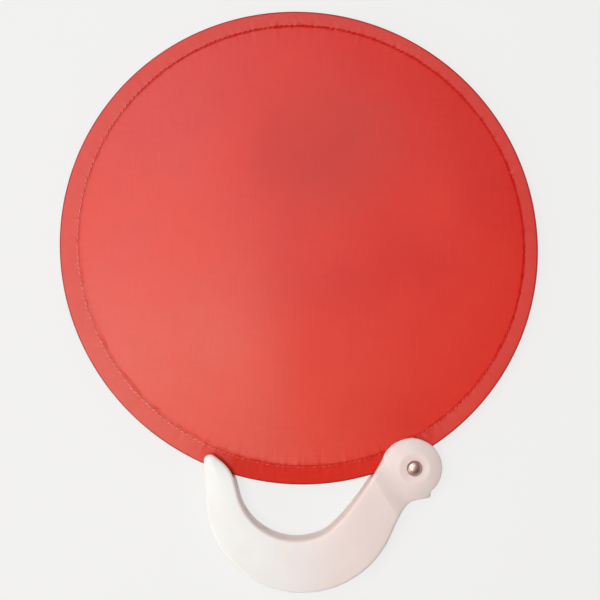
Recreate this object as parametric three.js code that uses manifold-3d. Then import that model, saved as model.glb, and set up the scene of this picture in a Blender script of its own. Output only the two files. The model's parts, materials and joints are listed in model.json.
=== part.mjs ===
// A round twist-fold hand fan lying on its back: cloth on a spring hoop, with a crescent handle
// that swings on a rivet. Millimetres, +Z up, the cloth level, the handle's end towards -Y.

import * as THREE from 'three';
import { mergeVertices } from 'three/addons/utils/BufferGeometryUtils.js';
import Module from 'manifold-3d';

const wasm = await Module();
wasm.setup();

const { degToRad } = THREE.MathUtils;

// Cloth disc
const discDiameter = 250; // over the bound rim
const rimOval = 1.2; // how far the hoop is pulled out of round
const rimOvalTurn = degToRad(-27); // direction of the oval's long axis
const panelThickness = 0.3;
const bindingWidth = 9.8; // from the rim's edge to the tape's inner edge
const bindingPly = 0.4;
const bindingFlat = 4; // flat margin of the tape, where the stitches run
const stitchInset = 1.2; // from the tape's inner edge
const threadSize = 0.4;
const hoopDepth = 0.8; // radial
const hoopHeight = 1.4; // across the rim
const softGap = 0.3; // between layers that lie loose on each other
const rimSteps = 84;

// Handle walls
const rimRoom = 1.6; // between the rim's swell and each cheek
const cheekWall = 2;
const stepHeight = 2; // the grip stands this much prouder than the head, on each side
const webWall = 2.5; // closes the handle along its back
const gapWall = 2.5; // closes it along the finger gap
const wallClear = 1; // from the rim's edge to where that wall ends
const edgeRound = 2.2;
const edgeSteps = 3;
const curveSteps = 10;

// Handle outline: across is measured from the disc's middle, rise and drop from the rim's lowest point
const pivotAcross = 60.3;
const pivotStandoff = 4.5; // from the rim's edge out to the rivet's axis
const headShift = new THREE.Vector2(-1.15, -0.35); // the head's middle from the rivet
const headRadius = 16.5;
const headNeckTurn = degToRad(163); // where the head runs into the neck
const headBeakTurn = degToRad(-50); // where it runs into the beak
const beakTurn = degToRad(-57.7);
const beakProud = 2.5;
const beakLength = 5;
const beakSlope = degToRad(5);
const gapAcross = -1.2; // middle of the round finger gap
const gapRise = 4.1;
const gapRadius = 31.2;
const gapNeckTurn = degToRad(-63); // where the gap runs into the neck
const gapTipTurn = degToRad(-167); // where it runs into the tip's flank
const neckEaseHead = 3;
const neckEaseGap = 12;
const backAcross = 1.9; // middle of the handle's round back
const backDrop = 4.3;
const backRadius = 50.6;
const backNeckTurn = degToRad(-24);
const backEaseGrip = 16;
const backEaseBeak = 7.5;
const tipFlare = 1.1; // how far the tip stands out past the round back
const tipBite = 3.5; // how far the tip's middle reaches in over the rim
const tipRadius = 3.6;
const tipFlankTurn = degToRad(56);
const tipEaseGap = 10.5;
const tipEase = 10.5;

// Step where the thick grip meets the thin head
const stepTurn = degToRad(211); // direction from the rivet
const stepDistance = 17.5;
const stepRamp = 4;

// Rivet, lug and locating pegs
const postRadius = 1.8;
const capRadius = 4;
const capHeight = 2;
const dishRadius = 9.2;
const dishFloorRadius = 5.5;
const dishDepth = 0.9;
const lugEyeRadius = 5;
const lugHalfLength = 7;
const lugWall = 1.2;
const socketDepth = 5;
const pegRadius = 1.2;
const pegLength = 3;
const bossRadius = 3;
const bossSink = 1; // into the web, so that boss and web are one
const bossTurns = [215, 270, 325].map(degToRad);
const fitGap = 0.3; // between parts that fit or slide
const roundSteps = 32;

const discRadius = discDiameter / 2;
const panelTop = panelThickness / 2;
const bindingTop = panelTop + bindingPly;
const rimCrown = hoopHeight / 2 + softGap + bindingPly;
const hoopOuter = bindingPly + softGap; // depths are measured inwards from the rim's edge
const hoopInner = hoopOuter + hoopDepth;
const hoopSag = lugHalfLength ** 2 / discDiameter; // how far the rim curves away over the lug's half length
const panelInset = hoopInner + hoopSag + fitGap + lugWall + softGap;
const headSlotHalf = rimCrown + rimRoom; // half thicknesses, from the parting plane
const headHalf = headSlotHalf + cheekWall;
const gripSlotHalf = headSlotHalf + stepHeight;
const gripHalf = gripSlotHalf + cheekWall;
const tipAcross = backAcross - backRadius - tipFlare + tipRadius;
const capSeat = headHalf - dishDepth;
const cutReach = discDiameter; // takes cutting solids well past the handle

function rimRadius(turn) {
  return discRadius + rimOval * Math.cos(2 * (turn - rimOvalTurn));
}

// The rivet stands just outside the rim, so its distance from the disc's centre follows the hoop's size.
function placePivot() {
  let turn = -Math.acos(pivotAcross / discRadius);
  for (let round = 0; round < 8; round += 1) {
    turn = -Math.acos(pivotAcross / (rimRadius(turn) + pivotStandoff));
  }
  const reach = rimRadius(turn) + pivotStandoff;
  const rimSlope = -2 * rimOval * Math.sin(2 * (turn - rimOvalTurn)) / rimRadius(turn);
  const facing = turn - Math.atan(rimSlope); // square to the rim
  return { turn, facing, x: reach * Math.cos(turn), y: reach * Math.sin(turn) };
}

const pivot = placePivot();

// The rim's edge, from one side of the lug round to the other, stopping a margin short of the rivet
class RimCurve extends THREE.Curve {
  constructor(margin) {
    super();
    this.gapTurn = margin / discRadius;
  }

  getPoint(t, target = new THREE.Vector3()) {
    const sweep = 2 * (Math.PI - this.gapTurn);
    const turn = pivot.turn + this.gapTurn + t * sweep;
    const radius = rimRadius(turn);
    return target.set(radius * Math.cos(turn), radius * Math.sin(turn), 0);
  }
}

function finish(colour, roughness, metalness = 0) {
  return new THREE.MeshStandardMaterial({ color: colour, roughness, metalness });
}

function named(name, geometry, material) {
  const mesh = new THREE.Mesh(geometry, material);
  mesh.name = name;
  return mesh;
}

function toSolid(geometry) {
  const bare = geometry.clone();
  bare.deleteAttribute('normal');
  bare.deleteAttribute('uv');
  const merged = mergeVertices(bare, 1e-4);
  const vertProperties = Float32Array.from(merged.attributes.position.array);
  const triVerts = Uint32Array.from(merged.index.array);
  return new wasm.Manifold(new wasm.Mesh({ numProp: 3, vertProperties, triVerts }));
}

function toGeometry(solid) {
  const { vertProperties, triVerts } = solid.getMesh();
  const geometry = new THREE.BufferGeometry();
  geometry.setAttribute('position', new THREE.BufferAttribute(vertProperties, 3));
  geometry.setIndex(new THREE.BufferAttribute(triVerts, 1));
  geometry.computeVertexNormals();
  return geometry;
}

// A shape extruded straight up between two heights
function slab(shape, bottom, top) {
  const geometry = new THREE.ExtrudeGeometry(shape, {
    depth: top - bottom, bevelEnabled: false, curveSegments: curveSteps,
  });
  return geometry.translate(0, 0, bottom);
}

// A profile of radius and height, turned about the Z axis
function turned(profile) {
  const points = profile.map(([radius, height]) => new THREE.Vector2(radius, height));
  return new THREE.LatheGeometry(points, roundSteps).rotateX(Math.PI / 2);
}

function post(radius, bottom, top) {
  return turned([[0, bottom], [radius, bottom], [radius, top], [0, top]]);
}

function onCircle(centre, radius, turn) {
  return new THREE.Vector2(centre.x + radius * Math.cos(turn), centre.y + radius * Math.sin(turn));
}

function stepFrom(point, turn, distance) {
  return onCircle(point, distance, turn);
}

function ease(path, from, fromTurn, fromEase, to, toTurn, toEase) {
  const first = stepFrom(from, fromTurn, fromEase);
  const second = stepFrom(to, toTurn, -toEase);
  path.bezierCurveTo(first.x, first.y, second.x, second.y, to.x, to.y);
}

// A place on the handle, drawn about the rivet
function fromPivot(across, up) {
  return new THREE.Vector2(across - pivot.x, up - pivot.y);
}

// How far up the rim's lower side is at a place across, moved out by a distance
function belowRim(across, distance) {
  const turn = -Math.acos(across / discRadius);
  const radius = rimRadius(turn) + distance;
  return -Math.sqrt(radius * radius - across * across);
}

const beakTip = onCircle(headShift, headRadius + beakProud, beakTurn);
const gapCentre = fromPivot(gapAcross, gapRise - discRadius);
const backCentre = fromPivot(backAcross, -backDrop - discRadius);
const tipCentre = fromPivot(tipAcross, belowRim(tipAcross, -tipBite));

// The handle's outer edge from its far left round the back and up the neck to the beak, moved in by inset
function drawBack(path, inset) {
  const radius = backRadius - inset;
  const arcEnd = onCircle(backCentre, radius, backNeckTurn);
  const beakEnd = stepFrom(beakTip, beakSlope + Math.PI / 2, inset);
  const beakStart = stepFrom(beakEnd, beakSlope, -beakLength);
  path.absarc(backCentre.x, backCentre.y, radius, Math.PI, backNeckTurn, false);
  ease(path, arcEnd, backNeckTurn + Math.PI / 2, backEaseGrip,
    beakStart, beakSlope, backEaseBeak + inset / 2);
  path.lineTo(beakEnd.x, beakEnd.y);
}

const headEnd = onCircle(headShift, headRadius, headNeckTurn);

// The edge of the finger gap, from the head down the neck, round the gap and up the tip's flank
function drawGap(path) {
  const gapStart = onCircle(gapCentre, gapRadius, gapNeckTurn);
  const gapEnd = onCircle(gapCentre, gapRadius, gapTipTurn);
  const tipStart = onCircle(tipCentre, tipRadius, tipFlankTurn);
  ease(path, headEnd, headNeckTurn + Math.PI / 2, neckEaseHead,
    gapStart, gapNeckTurn - Math.PI / 2, neckEaseGap);
  path.absarc(gapCentre.x, gapCentre.y, gapRadius, gapNeckTurn, gapTipTurn, true);
  ease(path, gapEnd, gapTipTurn - Math.PI / 2, tipEaseGap,
    tipStart, tipFlankTurn + Math.PI / 2, tipEase);
}

function handleOutline() {
  const outline = new THREE.Shape();
  outline.absarc(headShift.x, headShift.y, headRadius, headBeakTurn, headNeckTurn, false);
  drawGap(outline);
  outline.absarc(tipCentre.x, tipCentre.y, tipRadius, tipFlankTurn, Math.PI, false);
  drawBack(outline, 0);
  return outline;
}

// The rim's edge moved out by a distance
function rimShape(distance) {
  const edge = new THREE.Shape();
  for (let step = 0; step < rimSteps; step += 1) {
    const turn = (step / rimSteps) * 2 * Math.PI;
    const radius = rimRadius(turn) + distance;
    edge[step === 0 ? 'moveTo' : 'lineTo'](radius * Math.cos(turn), radius * Math.sin(turn));
  }
  edge.closePath();
  return edge;
}

// The upright wall along the finger gap, which stops short of the rim at both ends
function gapWallBody() {
  const path = new THREE.Path();
  path.moveTo(headEnd.x, headEnd.y);
  drawGap(path);
  const points = path.getPoints(2 * curveSteps);
  const last = points.length - 1;
  const movedIn = (distance) => points.map((point, i) => {
    const along = points[Math.min(i + 1, last)].clone().sub(points[Math.max(i - 1, 0)]).normalize();
    return new THREE.Vector2(point.x - along.y * distance, point.y + along.x * distance);
  });
  const plan = new THREE.Shape([...movedIn(-wallClear), ...movedIn(gapWall).reverse()]);
  const disc = slab(rimShape(wallClear), -gripHalf, gripHalf).translate(-pivot.x, -pivot.y, 0);
  return toSolid(slab(plan, -gripHalf, gripHalf)).subtract(toSolid(disc));
}

// Plan of the hollow between the cheeks: all that lies inside the web, open towards the disc.
// On the left the web stops just short of the rim, which passes out there between the cheeks.
function slotPlan() {
  const plan = new THREE.Shape();
  const webLeft = tipCentre.x - tipRadius + webWall;
  const farLeft = Math.min(tipCentre.x - tipRadius, backCentre.x - backRadius) - webWall;
  const seat = (x) => belowRim(x + pivot.x, fitGap) - pivot.y;
  plan.moveTo(farLeft, seat(farLeft));
  plan.lineTo(webLeft, seat(webLeft));
  drawBack(plan, webWall);
  plan.lineTo(cutReach, plan.currentPoint.y);
  plan.lineTo(cutReach, cutReach);
  plan.lineTo(farLeft, cutReach);
  plan.closePath();
  return plan;
}

// The outline as a solid with rounded edges, centred on the parting plane
function roundedBlank(outline, half) {
  const round = Math.min(edgeRound, tipRadius - fitGap);
  const geometry = new THREE.ExtrudeGeometry(outline, {
    depth: 2 * (half - round),
    bevelThickness: round,
    bevelSize: round,
    bevelOffset: -round,
    bevelSegments: edgeSteps,
    curveSegments: curveSteps,
  });
  return toSolid(geometry.translate(0, 0, round - half));
}

// All that lies past the neck's step, from a low height at the step up the ramp to past a high one
function gripZone(lowHalf) {
  const side = new THREE.Shape();
  const farHalf = lowHalf + 2 * stepHeight;
  side.moveTo(0, lowHalf);
  side.lineTo(0, -lowHalf);
  side.lineTo(2 * stepRamp, -farHalf);
  side.lineTo(cutReach, -farHalf);
  side.lineTo(cutReach, farHalf);
  side.lineTo(2 * stepRamp, farHalf);
  side.closePath();
  const geometry = new THREE.ExtrudeGeometry(side, { depth: 2 * cutReach, bevelEnabled: false });
  geometry.translate(stepDistance, 0, -cutReach).rotateX(Math.PI / 2).rotateZ(stepTurn);
  return toSolid(geometry);
}

// Cheeks and walls in one: a thin head, a thicker grip past the step, and the hollow cut out of both
function handleBody() {
  const outline = handleOutline();
  const plan = slotPlan();
  const grip = roundedBlank(outline, gripHalf).intersect(gripZone(headHalf));
  const headSlot = toSolid(slab(plan, -headSlotHalf, headSlotHalf));
  const gripSlot = toSolid(slab(plan, -gripSlotHalf, gripSlotHalf)).intersect(gripZone(headSlotHalf));
  const hollow = headSlot.add(gripSlot).subtract(gapWallBody());
  return roundedBlank(outline, headHalf).add(grip).subtract(hollow);
}

// The shallow dish that the rivet's front cap sits in
function dish() {
  const top = headHalf + cheekWall;
  return turned([
    [0, capSeat],
    [dishFloorRadius, capSeat],
    [dishRadius, headHalf],
    [dishRadius, top],
    [0, top],
  ]);
}

function bossPlaces() {
  const radius = backRadius - webWall - bossRadius + bossSink;
  return bossTurns.map((turn) => onCircle(backCentre, radius, turn));
}

function halfSpace(sign) {
  const block = new THREE.BoxGeometry(2 * cutReach, 2 * cutReach, cutReach);
  return toSolid(block.translate(0, 0, sign * cutReach / 2));
}

function halfShell(body, sign) {
  const bore = toSolid(post(postRadius + fitGap, -gripHalf, gripHalf));
  const dishCut = toSolid(sign > 0 ? dish() : dish().rotateX(Math.PI));
  const cheekMiddle = sign * (gripSlotHalf + cheekWall / 2);
  let shell = body.intersect(halfSpace(sign)).subtract(dishCut).subtract(bore);
  for (const place of bossPlaces()) {
    const boss = post(bossRadius, Math.min(0, cheekMiddle), Math.max(0, cheekMiddle));
    shell = shell.add(toSolid(boss.translate(place.x, place.y, 0)));
  }
  return shell;
}

function frontShell(body) {
  let shell = halfShell(body, 1);
  for (const place of bossPlaces()) {
    const hole = post(pegRadius + fitGap, -fitGap, pegLength + fitGap);
    shell = shell.subtract(toSolid(hole.translate(place.x, place.y, 0)));
  }
  return toGeometry(shell);
}

function rearShell(body) {
  let shell = halfShell(body, -1);
  for (const place of bossPlaces()) {
    const peg = post(pegRadius, -pegLength, pegLength);
    shell = shell.add(toSolid(peg.translate(place.x, place.y, 0)));
  }
  return toGeometry(shell);
}

// Outline of the domed cap from its rim to the middle of its crown
function capDome(seat) {
  const steps = 6;
  const dome = [];
  for (let step = 0; step <= steps; step += 1) {
    const turn = (step / steps) * (Math.PI / 2);
    dome.push([capRadius * Math.cos(turn), seat + capHeight * Math.sin(turn)]);
  }
  dome[steps][0] = 0;
  return dome;
}

function rivetFront() {
  const postEnd = -capSeat - capHeight / 2;
  return turned([[0, postEnd], [postRadius, postEnd], [postRadius, capSeat], ...capDome(capSeat)]);
}

function rivetRear() {
  const holeRadius = postRadius + fitGap;
  const holeTop = capSeat + capHeight / 2 + fitGap;
  const cap = turned([[0, holeTop], [holeRadius, holeTop], [holeRadius, capSeat], ...capDome(capSeat)]);
  return cap.rotateX(Math.PI);
}

// The lug is drawn with x along the rim and y towards the disc's centre.
function pivotLug() {
  const socketLow = pivotStandoff + hoopOuter - fitGap;
  const socketHigh = pivotStandoff + hoopInner + hoopSag + fitGap;
  const saddleLow = socketLow - lugWall;
  const saddleHigh = socketHigh + lugWall;
  const half = headSlotHalf - fitGap;
  const side = new THREE.Shape();
  side.absarc(0, 0, lugEyeRadius, Math.PI, 2 * Math.PI, false);
  side.lineTo(lugHalfLength, saddleLow);
  side.lineTo(lugHalfLength, saddleHigh);
  side.lineTo(-lugHalfLength, saddleHigh);
  side.lineTo(-lugHalfLength, saddleLow);
  side.closePath();
  const bore = toSolid(post(postRadius + fitGap, -headHalf, headHalf));
  let lug = toSolid(slab(side, -half, half)).subtract(bore);
  for (const end of [-1, 1]) {
    const socket = new THREE.BoxGeometry(2 * socketDepth, socketHigh - socketLow, hoopHeight + 2 * fitGap);
    lug = lug.subtract(toSolid(socket.translate(end * lugHalfLength, (socketLow + socketHigh) / 2, 0)));
  }
  const geometry = toGeometry(lug).rotateZ(pivot.facing + Math.PI / 2);
  return geometry.translate(pivot.x, pivot.y, 0);
}

// A closed section of height and depth, swept round the rim on both sides of the lug
function sweptRim(section, margin) {
  const shape = new THREE.Shape(section.map(([depth, height]) => new THREE.Vector2(-height, depth)));
  return new THREE.ExtrudeGeometry(shape, { steps: rimSteps, extrudePath: new RimCurve(margin) });
}

// The tape's section: two flat margins on the panel that swell over the hoop and meet round the edge
function bindingSection() {
  const flatEnd = bindingWidth - bindingFlat;
  const hoopTop = rimCrown - bindingPly;
  const outside = [
    [bindingWidth, bindingTop],
    [flatEnd, bindingTop],
    [hoopInner + softGap, rimCrown],
    [hoopOuter, rimCrown],
    [0, hoopHeight / 3],
  ];
  const inside = [
    [bindingPly, hoopHeight / 3],
    [hoopOuter, hoopTop],
    [hoopInner + softGap, hoopTop],
    [flatEnd, panelTop],
    [bindingWidth, panelTop],
  ];
  const below = (points) => points.map(([depth, height]) => [depth, -height]).reverse();
  return [...outside, ...below(outside), ...below(inside), ...inside];
}

function hoopSection() {
  const half = hoopHeight / 2;
  return [[hoopOuter, -half], [hoopInner, -half], [hoopInner, half], [hoopOuter, half]];
}

function threadSection(sign) {
  const middle = bindingWidth - stitchInset;
  const near = sign * bindingTop;
  const far = sign * (bindingTop + threadSize);
  return [[middle - threadSize, near], [middle + threadSize, near], [middle, far]];
}

function fanPanel() {
  return slab(rimShape(-panelInset), -panelTop, panelTop);
}

const lugMargin = lugHalfLength + fitGap;
const hoopMargin = lugHalfLength - socketDepth + fitGap;
const redCloth = { panel: 0xdc4a42, tape: 0xd9443e, thread: 0xe05a52 };

const disc = new THREE.Group();
disc.add(named('fan_panel', fanPanel(), finish(redCloth.panel, 0.6)));
disc.add(named('rim_binding', sweptRim(bindingSection(), lugMargin), finish(redCloth.tape, 0.65)));
disc.add(named('spring_hoop', sweptRim(hoopSection(), hoopMargin), finish(0x8c9096, 0.35, 1)));
for (const [name, sign] of [['binding_needle_thread', 1], ['binding_bobbin_thread', -1]]) {
  disc.add(named(name, sweptRim(threadSection(sign), lugMargin), finish(redCloth.thread, 0.5)));
}
disc.add(named('pivot_lug', pivotLug(), finish(0xe8e2dc, 0.5)));

const body = handleBody();
const handle = new THREE.Group();
handle.position.set(pivot.x, pivot.y, 0);
handle.add(named('handle_front_shell', frontShell(body), finish(0xefe4de, 0.35)));
handle.add(named('handle_rear_shell', rearShell(body), finish(0xece1db, 0.35)));
handle.add(named('rivet_front_cap', rivetFront(), finish(0xc9c3bd, 0.2, 1)));
handle.add(named('rivet_rear_cap', rivetRear(), finish(0xc4beb8, 0.25, 1)));

// The origin is the middle of the fan's footprint, on the surface that it lies on.
const assembly = new THREE.Group();
assembly.add(disc, handle);
const extent = new THREE.Box3().setFromObject(assembly);
const middle = extent.getCenter(new THREE.Vector3());
assembly.position.set(-middle.x, -middle.y, -extent.min.z);

const fan = new THREE.Group();
fan.add(assembly);

export default fan;
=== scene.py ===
import json
import math
import random

import bpy
import numpy as np
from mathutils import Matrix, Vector


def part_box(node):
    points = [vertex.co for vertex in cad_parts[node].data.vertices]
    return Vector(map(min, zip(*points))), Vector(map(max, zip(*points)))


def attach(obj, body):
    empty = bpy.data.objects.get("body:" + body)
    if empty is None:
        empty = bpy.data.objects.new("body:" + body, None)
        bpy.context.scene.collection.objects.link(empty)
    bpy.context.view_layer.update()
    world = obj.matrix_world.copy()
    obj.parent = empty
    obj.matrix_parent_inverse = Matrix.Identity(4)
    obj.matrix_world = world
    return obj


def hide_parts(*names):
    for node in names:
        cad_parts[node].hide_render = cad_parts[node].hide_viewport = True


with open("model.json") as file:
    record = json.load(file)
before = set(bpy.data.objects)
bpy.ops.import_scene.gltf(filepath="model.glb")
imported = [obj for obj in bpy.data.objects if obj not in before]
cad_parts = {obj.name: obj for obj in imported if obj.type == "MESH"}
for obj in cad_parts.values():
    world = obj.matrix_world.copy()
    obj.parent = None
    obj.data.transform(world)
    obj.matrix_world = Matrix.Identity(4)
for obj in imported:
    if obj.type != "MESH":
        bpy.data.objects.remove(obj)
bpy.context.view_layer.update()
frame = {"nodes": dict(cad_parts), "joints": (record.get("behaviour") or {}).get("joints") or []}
print("frame loaded:", len(frame["nodes"]), "nodes")

mm = 0.001
pivot = np.array(frame["joints"][0]["pos_m"]) / mm  # the rivet's axis, millimetres
panelBox = [np.array(corner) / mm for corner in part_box("fan_panel")]
discMiddle = (panelBox[0] + panelBox[1]) / 2  # middle of the cloth, millimetres

# Camera straight above, as in the photo

photoCamera = {
    "height": 0.520,  # above the cloth
    "fieldWidth": 0.31566,  # what it sees across at the cloth
    "across": 0.0006,
    "along": 0.0005,
    "sensor": 36.0,
    "clipStart": 0.01,
}


def makeCamera():
    c = photoCamera
    data = bpy.data.cameras.new("photoCamera")
    data.sensor_width = c["sensor"]
    data.lens = c["sensor"] * c["height"] / c["fieldWidth"]
    data.clip_start = c["clipStart"]
    camera = bpy.data.objects.new("photoCamera", data)
    clothLevel = discMiddle[2] * mm
    camera.location = (c["across"], c["along"], clothLevel + c["height"])
    bpy.context.scene.collection.objects.link(camera)
    bpy.context.scene.camera = camera


makeCamera()
print("camera placed")

# Small helpers for meshes and materials


def addMesh(name, points, faces, smooth=True):
    mesh = bpy.data.meshes.new(name)
    mesh.from_pydata([tuple(p) for p in np.asarray(points) * mm], [], [tuple(f) for f in faces])
    mesh.update()
    mesh.polygons.foreach_set("use_smooth", [smooth] * len(mesh.polygons))
    piece = bpy.data.objects.new(name, mesh)
    bpy.context.scene.collection.objects.link(piece)
    return piece


def sharpenEdges(piece, degrees):
    piece.data.set_sharp_from_angle(angle=math.radians(degrees))
    return piece


def tubeFaces(rows, sides):
    # quads between rows of points, and a cap at each end
    faces = []
    for i in range(rows - 1):
        for j in range(sides):
            k = (j + 1) % sides
            faces.append((i * sides + j, i * sides + k, (i + 1) * sides + k, (i + 1) * sides + j))
    last = (rows - 1) * sides
    return faces + [tuple(range(sides))[::-1], tuple(last + j for j in range(sides))]


def markPoints(piece, name, values):
    mark = piece.data.attributes.new(name, "FLOAT", "POINT")
    mark.data.foreach_set("value", values)


def dress(piece, material, body, slot, *cadNodes):
    piece.data.materials.clear()
    piece.data.materials.append(material)
    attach(piece, body)
    if cadNodes:
        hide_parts(*cadNodes)
    return piece


def smoothStep(low, high, value):
    t = np.clip((value - low) / (high - low), 0, 1)
    return t * t * (3 - 2 * t)


def paint(*channels):
    # a screen colour, as the shaders take it
    shares = [channel / 255 for channel in channels]
    return (*[s / 12.92 if s <= 0.04045 else ((s + 0.055) / 1.055) ** 2.4 for s in shares], 1.0)


def setInputs(made, inputs):
    for key, value in inputs.items():
        if isinstance(value, bpy.types.NodeSocket):
            made.id_data.links.new(value, made.inputs[key])
        else:
            made.inputs[key].default_value = value


def addNode(tree, kind, inputs=None, **settings):
    made = tree.nodes.new(kind)
    for name, value in settings.items():
        setattr(made, name, value)
    setInputs(made, inputs or {})
    return made


def newMaterial(name):
    material = bpy.data.materials.new(name)
    material.use_nodes = True
    tree = material.node_tree
    place = addNode(tree, "ShaderNodeTexCoord").outputs["Object"]
    return material, tree, tree.nodes["Principled BSDF"], place


def calc(tree, operation, *values):
    inputs = dict(enumerate(values))
    return addNode(tree, "ShaderNodeMath", inputs, operation=operation).outputs[0]


def times(tree, first, second):
    return calc(tree, "MULTIPLY", first, second)


def remap(tree, value, fromLow, fromHigh, toLow, toHigh):
    inputs = {0: value, 1: fromLow, 2: fromHigh, 3: toLow, 4: toHigh}
    return addNode(tree, "ShaderNodeMapRange", inputs, interpolation_type="SMOOTHSTEP").outputs[0]


noiseSpread = (0.3, 0.7)  # most of a noise lies between these


def spread(tree, value, low, high):
    return remap(tree, value, *noiseSpread, low, high)


def mixPaint(tree, share, first, second, blend="MIX"):
    first, second = [paint(*colour) if isinstance(colour, tuple) else colour for colour in (first, second)]
    inputs = {0: share, 6: first, 7: second}
    made = addNode(tree, "ShaderNodeMix", inputs, data_type="RGBA", blend_type=blend)
    return made.outputs[2]


def shadePaint(tree, colour, shade):
    grey = addNode(tree, "ShaderNodeCombineColor", {0: shade, 1: shade, 2: shade}).outputs[0]
    return mixPaint(tree, 1.0, colour, grey, "MULTIPLY")


def noise(tree, place, scale, detail=2.0, rough=0.5):
    inputs = {"Vector": place, "Scale": scale, "Detail": detail, "Roughness": rough}
    return addNode(tree, "ShaderNodeTexNoise", inputs).outputs[0]


def stretched(tree, place, scale, turn=0.0):
    inputs = {"Vector": place, "Scale": scale, "Rotation": (0, 0, turn)}
    return addNode(tree, "ShaderNodeMapping", inputs).outputs[0]


def splitPlace(tree, place):
    return addNode(tree, "ShaderNodeSeparateXYZ", {0: place}).outputs


def vectorCalc(tree, operation, *values):
    inputs = dict(enumerate(values))
    return addNode(tree, "ShaderNodeVectorMath", inputs, operation=operation).outputs


def readMark(tree, name):
    return addNode(tree, "ShaderNodeAttribute", attribute_name=name).outputs["Fac"]


def bump(tree, height, distance, strength=0.5, below=None):
    inputs = {"Height": height, "Distance": distance, "Strength": strength}
    if below is not None:
        inputs["Normal"] = below
    return addNode(tree, "ShaderNodeBump", inputs).outputs[0]


def glowInputs(finish):
    return {
        "Subsurface Weight": finish["glow"],
        "Subsurface Radius": finish["glowTint"],
        "Subsurface Scale": finish["glowReach"],
    }


# Red nylon: weave, slubs, mottling

nylon = {
    "deep": (219, 24, 6),
    "pale": (228, 37, 15),
    "mottle": (15.0, 3.0, 0.45),  # soft clouds, some 65 mm across: scale, detail and roughness of the noise
    "mottleSpread": (0.32, 0.68),
    "slub": (230, 70, 56),
    "slubStretch": (2900, 60),  # across and along the yarn
    "slubSpread": (0.8, 1.3),
    "slubShare": 0.22,
    "slubDepth": 0.00002,
    "pitch": 0.00034,  # of the weave
    "weaveCrown": 1.6,
    "weaveShade": (0.86, 1.04),  # in the hollows and on the crowns
    "weaveDepth": 0.00003,
    "weaveStrength": 0.35,
    "seam": (210, 13, 6),  # painted shade: the cloth is painted darker in blotches along the stitches, where it is pulled down into shade
    "seamScales": (330.0, 210.0),  # of the blotches' width and of their darkness
    "seamWidth": (0.6, 1.5),  # millimetres
    "seamDark": (0.35, 1.0),
    "seamCore": 0.3,  # share of the width that is fully dark
    "shadePatch": (178, 42, 32),  # painted shade: a faint darker cloud above the middle
    "shadePatchMiddle": (0.018, 0.080),
    "shadePatchReach": (0.006, 0.058),
    "shadePatchShare": 0.38,
    "roughness": (0.28, 0.35),
    "shine": 0.45,
    "seamShine": 0.14,
    "handledShine": 0.08,
    "handled": (0.012, -0.097),  # tape and thread are less shiny beside the gap, where fingers rub them; the thread is also painted darker there, as painted shade
    "handledReach": (0.035, 0.085),
    "glow": 0.15,  # red light that creeps through the ply
    "glowTint": (1.0, 0.15, 0.1),
    "glowReach": 0.0006,
    "tape": (214, 31, 18),  # the doubled tape is duller than the thin panel
    "tapePale": (221, 43, 30),
    "edge": (98, 12, 12),  # painted shade: the fold at the rim is painted dark
    "edgeScale": 120.0,
    "edgeShare": (0.7, 0.95),
}


def weaveHeight(tree, across, along, pitch):
    a = calc(tree, "SINE", times(tree, across, math.pi / pitch))
    b = calc(tree, "SINE", times(tree, along, math.pi / pitch))
    crossing = times(tree, a, b)
    warp = calc(tree, "ADD", calc(tree, "ABSOLUTE", a), crossing)
    weft = calc(tree, "SUBTRACT", calc(tree, "ABSOLUTE", b), crossing)
    return calc(tree, "MAXIMUM", warp, weft)


def seamShadeShare(tree, place):
    widthScale, darkScale = nylon["seamScales"]
    width = spread(tree, noise(tree, place, widthScale, detail=3.0), *nylon["seamWidth"])
    dark = spread(tree, noise(tree, place, darkScale), *nylon["seamDark"])
    share = calc(tree, "DIVIDE", readMark(tree, "fromShade"), width)
    line = remap(tree, share, nylon["seamCore"], 1.0, 1.0, 0.0)
    return times(tree, line, times(tree, dark, readMark(tree, "shadeStrength")))


def finishNylon(tree, shader, place, height, deep, pale, foldShade=None, rubbed=None, patchShade=None):
    n = nylon
    broad = noise(tree, place, *n["mottle"])
    fine, drawn = n["slubStretch"]
    warpSlub = noise(tree, stretched(tree, place, (fine, drawn, 1)), 1.0)
    weftSlub = noise(tree, stretched(tree, place, (drawn, fine, 1)), 1.0)
    slub = calc(tree, "ADD", warpSlub, weftSlub)
    mottled = remap(tree, broad, *n["mottleSpread"], 0, 1)
    slubbed = remap(tree, slub, *n["slubSpread"], 0, n["slubShare"])
    body = mixPaint(tree, mottled, deep, pale)
    body = mixPaint(tree, slubbed, body, n["slub"])
    body = shadePaint(tree, body, remap(tree, height, 0.0, n["weaveCrown"], *n["weaveShade"]))
    paintedShade = seamShadeShare(tree, place)
    # painted shade along the stitches
    body = mixPaint(tree, paintedShade, body, n["seam"])
    if patchShade is not None:
        body = mixPaint(tree, patchShade, body, n["shadePatch"])
    if foldShade is not None:
        # painted shade on the fold at the rim
        body = mixPaint(tree, foldShade, body, n["edge"])
        paintedShade = calc(tree, "MAXIMUM", paintedShade, foldShade)
    shine = remap(tree, paintedShade, 0, 1, n["shine"], n["seamShine"])
    if rubbed is not None:
        handled = remap(tree, rubbed, 0, 1, n["shine"], n["handledShine"])
        shine = calc(tree, "MINIMUM", shine, handled)
    crease = bump(tree, slub, n["slubDepth"])
    setInputs(shader, {
        "Base Color": body,
        "Roughness": spread(tree, broad, *n["roughness"]),
        "Specular IOR Level": shine,
        "Normal": bump(tree, height, n["weaveDepth"], n["weaveStrength"], crease),
        **glowInputs(n),
    })


def nearSpot(tree, place, spot, reach):
    away = vectorCalc(tree, "DISTANCE", place, (*spot, 0))["Value"]
    return remap(tree, away, *reach, 1, 0)


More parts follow.
